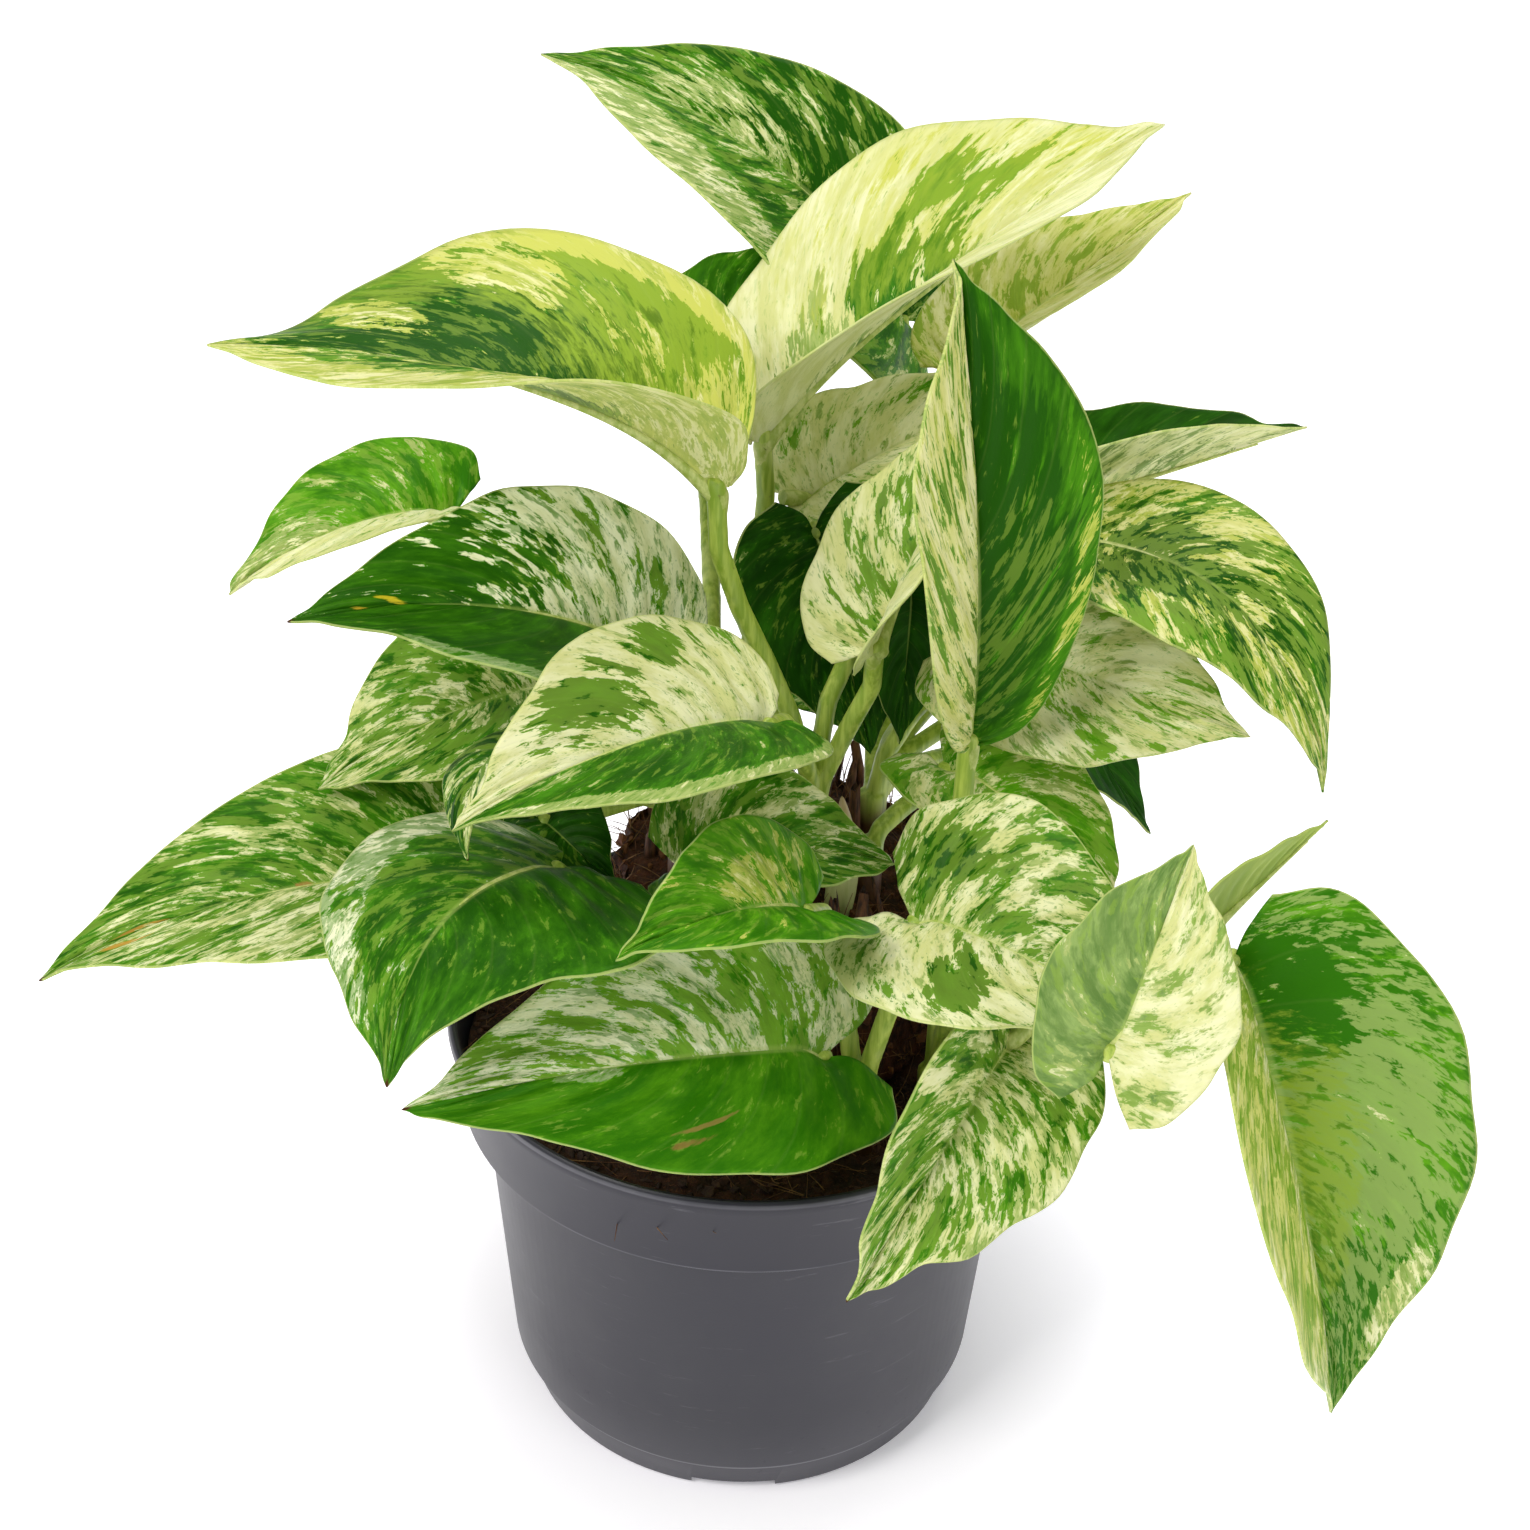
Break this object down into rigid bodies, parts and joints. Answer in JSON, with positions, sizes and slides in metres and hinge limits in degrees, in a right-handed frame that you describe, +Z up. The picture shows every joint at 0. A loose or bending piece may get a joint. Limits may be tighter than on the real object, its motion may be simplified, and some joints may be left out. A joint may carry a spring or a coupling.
{
  "type": "potted pothos plant",
  "caption": "Trailing houseplant with marbled cream and green heart-shaped leaves on slender stalks, rooted in soil in a round tapered plastic nursery pot.",
  "frame": {"origin": "centre of the pot's underside, on the surface the pot stands on", "axes": "+Z up along the pot's axis, -Y towards the plant's front, +X to the right as the front is seen"},
  "size_m": [0.255, 0.2024, 0.251],
  "materials": {
    "pot_plastic": "satin",
    "soil": "matte",
    "coir": "matte",
    "stalk": "satin",
    "leaf_green": "satin",
    "leaf_marbled": "satin",
    "leaf_pale": "satin"
  },
  "bodies": {
    "root": {"nursery_pot": "pot_plastic", "potting_soil": "soil", "coir_plug": "coir", "new_shoot": "stalk", "cutting_back": "stalk", "cutting_centre": "stalk", "cutting_right": "stalk", "cutting_right_back": "stalk", "cutting_left_back": "stalk", "cutting_left": "stalk", "cutting_front_left": "stalk", "cutting_front": "stalk", "cutting_front_right": "stalk", "leaf_top": "leaf_green", "leaf_crown": "leaf_pale", "leaf_far_right": "leaf_pale", "leaf_far_left": "leaf_marbled", "leaf_wide_left": "leaf_marbled", "leaf_tall": "leaf_green", "leaf_right_dark": "leaf_green", "leaf_right_drooping": "leaf_marbled", "leaf_right_middle": "leaf_pale", "leaf_right_pointed": "leaf_green", "leaf_centre_right": "leaf_marbled", "leaf_back_pale": "leaf_pale", "leaf_centre_pale": "leaf_pale", "leaf_centre_dark": "leaf_green", "leaf_centre_dark_low": "leaf_green", "leaf_far_left_small": "leaf_green", "leaf_left_middle": "leaf_green", "leaf_left_behind": "leaf_marbled", "leaf_left_narrow": "leaf_marbled", "leaf_front_pale": "leaf_pale", "leaf_left_low": "leaf_marbled", "leaf_low_dark": "leaf_green", "leaf_front_small": "leaf_green", "leaf_centre_low": "leaf_green", "leaf_front_green": "leaf_green", "leaf_front_right_pale": "leaf_pale", "leaf_front_hanging": "leaf_pale", "leaf_right_twisted": "leaf_pale", "leaf_right_bud": "leaf_green", "leaf_right_large": "leaf_green", "leaf_under_front": "leaf_green", "leaf_under_centre": "leaf_green", "leaf_back_low_left": "leaf_marbled", "leaf_back_low_middle": "leaf_green", "leaf_back_low_right": "leaf_marbled", "leaf_back_high_left": "leaf_green", "leaf_back_high_right": "leaf_pale"}
  },
  "joints": []
}
